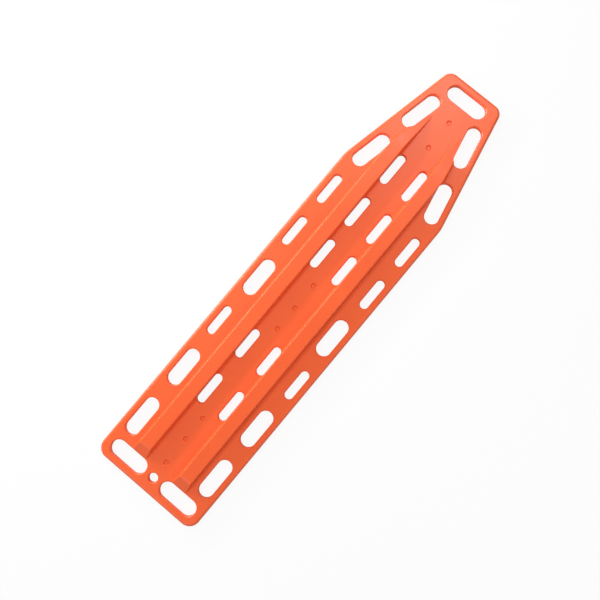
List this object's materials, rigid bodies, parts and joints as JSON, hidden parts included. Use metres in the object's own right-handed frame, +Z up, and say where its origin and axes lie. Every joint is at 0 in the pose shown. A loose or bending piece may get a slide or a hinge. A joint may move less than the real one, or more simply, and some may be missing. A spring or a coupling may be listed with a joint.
{
  "type": "spine board",
  "caption": "Long moulded rescue board with a tapered head end, hand and strap slots, and two runners under the patient's side.",
  "frame": {"origin": "middle of the board on the plain face that it rests on", "axes": "+Z up out of the runner side, +Y towards the head end, +X across the board"},
  "size_m": [0.44, 1.84, 0.045],
  "materials": {
    "shell": "fine-grained orange polyethylene with a satin sheen",
    "foam": "pale rigid foam",
    "glass_fibre": "pultruded glass fibre, smooth",
    "cap": "black moulded polyethylene"
  },
  "bodies": {
    "root": {"runner_skin": "shell", "deck_skin": "shell", "foam_sheet": "foam", "runner_foam_left": "foam", "runner_foam_right": "foam", "stiffener_tube_left": "glass_fibre", "stiffener_tube_right": "glass_fibre", "tube_cap_left_head": "cap", "tube_cap_left_foot": "cap", "tube_cap_right_head": "cap", "tube_cap_right_foot": "cap"}
  },
  "joints": []
}
